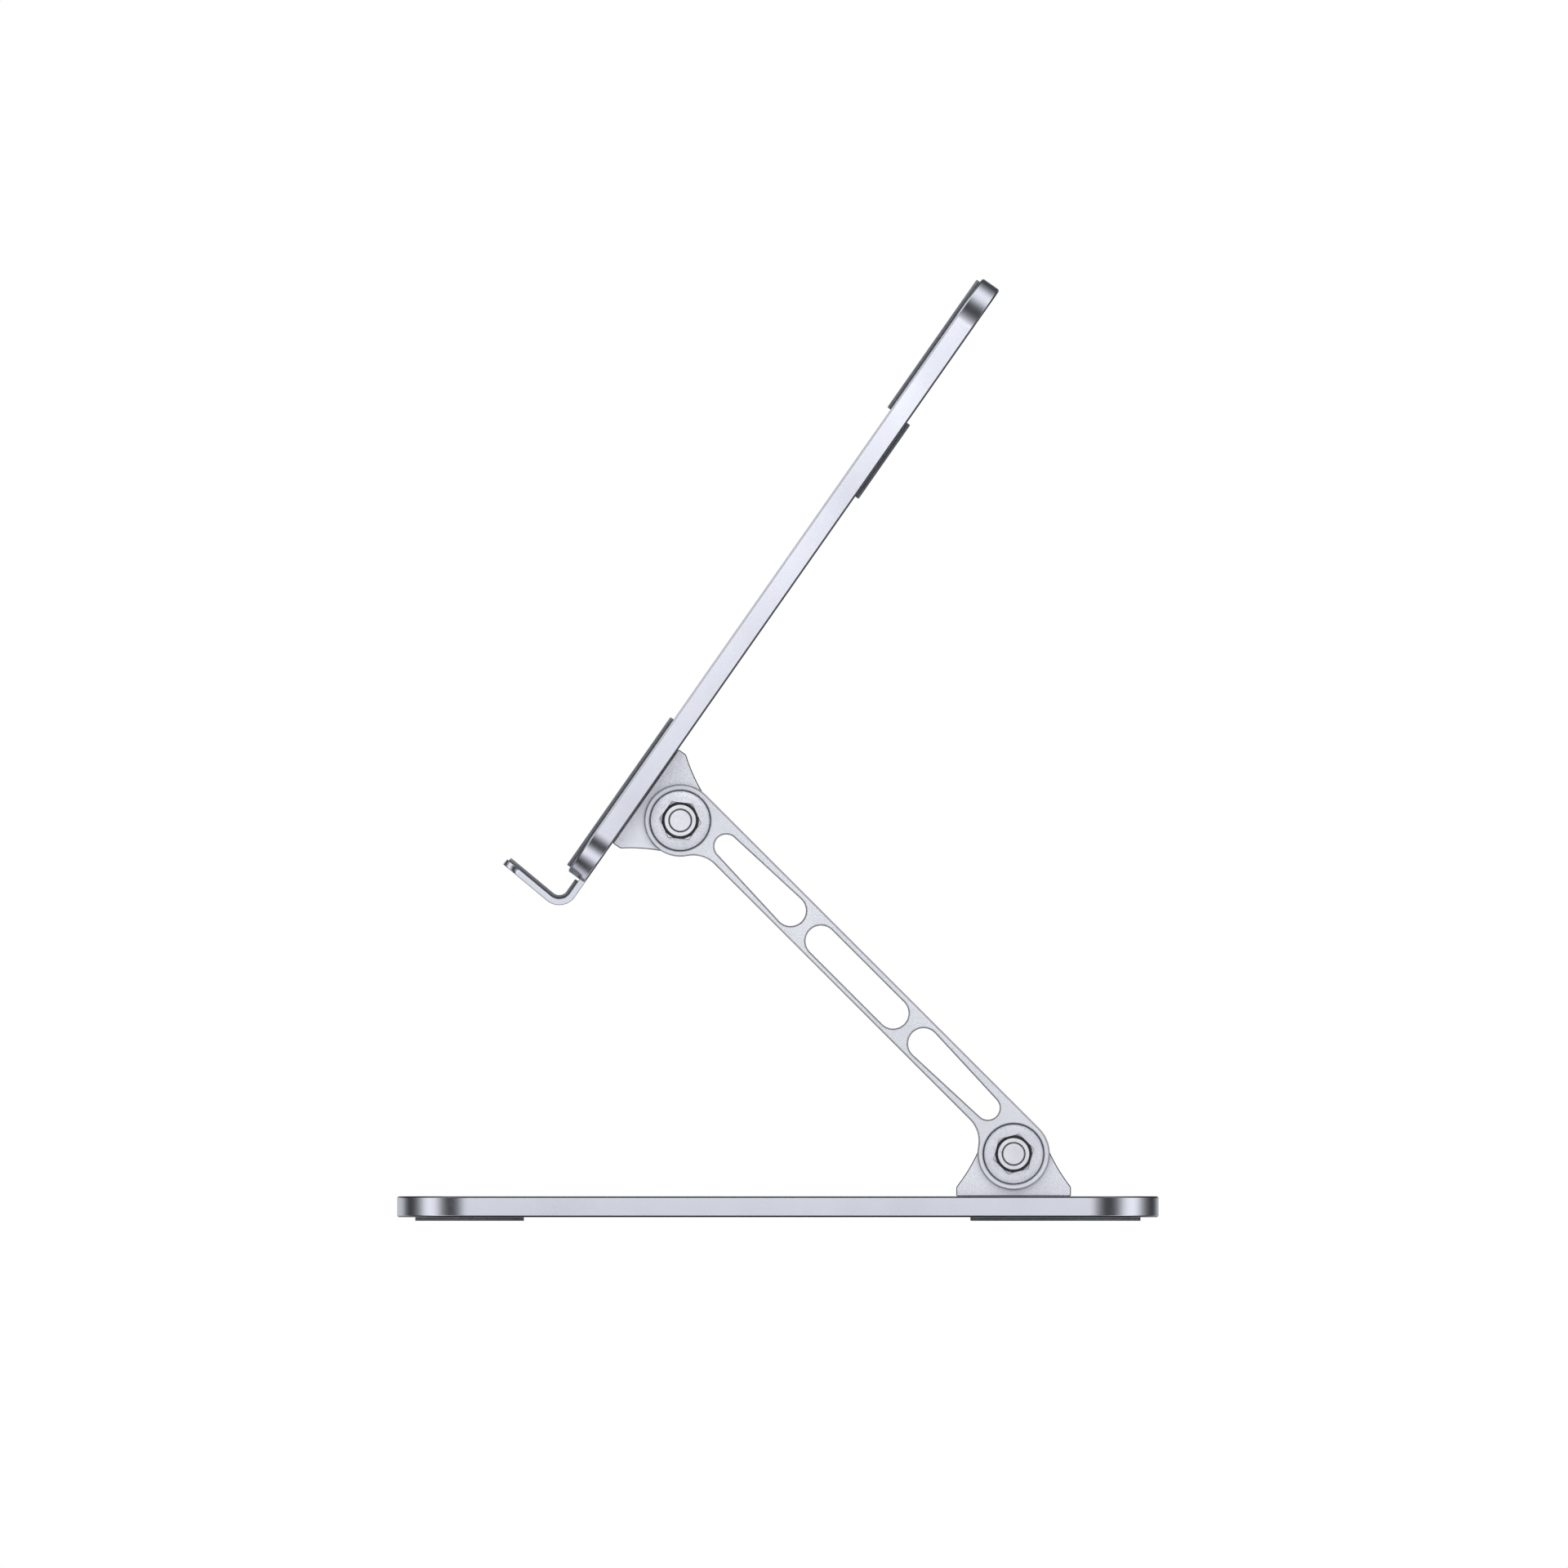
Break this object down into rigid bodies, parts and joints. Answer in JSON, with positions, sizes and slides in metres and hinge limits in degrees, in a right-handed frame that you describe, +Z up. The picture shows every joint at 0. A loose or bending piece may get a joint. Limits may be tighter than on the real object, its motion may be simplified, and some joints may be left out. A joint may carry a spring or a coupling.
{
  "type": "tablet stand",
  "caption": "Folding aluminium tablet stand: flat base, two slotted arms on friction hinges, padded sloping panel and two padded hooks for the tablet's lower edge.",
  "frame": {"origin": "middle of the base, at table level", "axes": "+X across the stand to the right seen from the front, +Y to the rear, +Z up; the lip faces -Y"},
  "size_m": [0.13, 0.168, 0.2077],
  "materials": {
    "blasted_aluminium": "fine bead-blasted, clear anodised, silver",
    "arm_aluminium": "fine bead-blasted, clear anodised, silver, with bright machined chamfers",
    "plated_steel": "bright plated",
    "silicone": "matt dark grey silicone",
    "bush_polymer": "dark low-friction polymer"
  },
  "bodies": {
    "base": {"base_plate": "blasted_aluminium", "foot_front_left": "silicone", "foot_front_right": "silicone", "foot_rear_left": "silicone", "foot_rear_right": "silicone", "base_cover_pad": "silicone", "base_bracket": "blasted_aluminium", "base_bracket_screws": "plated_steel", "lower_bush_left": "bush_polymer", "lower_bush_right": "bush_polymer"},
    "arms": {"arm_left": "arm_aluminium", "arm_right": "arm_aluminium", "lower_bolt": "plated_steel", "lower_nut": "plated_steel", "lower_disc_springs": "plated_steel"},
    "upper_pin": {"upper_bolt": "plated_steel", "upper_nut": "plated_steel", "upper_disc_springs": "plated_steel", "upper_bush_left": "bush_polymer", "upper_bush_right": "bush_polymer"},
    "panel": {"panel_plate": "blasted_aluminium", "panel_bracket": "blasted_aluminium", "panel_bracket_screws": "plated_steel", "panel_pad_upper": "silicone", "panel_pad_lower": "silicone", "panel_back_pad": "silicone", "hook_left": "arm_aluminium", "hook_right": "arm_aluminium", "hook_liner_left": "silicone", "hook_liner_right": "silicone", "hook_screws": "plated_steel"}
  },
  "joints": [
    {"name": "arm_fold", "type": "hinge", "parent": "base", "child": "arms", "pos_m": [0, 0.052, 0.01477], "axis": [1, 0, 0], "range_deg": [-25, 45]},
    {"name": "panel_fold", "type": "hinge", "parent": "arms", "child": "upper_pin", "pos_m": [0, -0.02154, 0.08831], "axis": [1, 0, 0], "range_deg": [-85.1, 47.3]},
    {"name": "panel_tilt", "type": "hinge", "parent": "upper_pin", "child": "panel", "pos_m": [0, -0.02154, 0.08831], "axis": [-1, 0, 0], "range_deg": [-15, 15]}
  ],
  "couplings": [
    {"joint": "panel_fold", "follows": "arm_fold", "ratio": -1.8889}
  ]
}
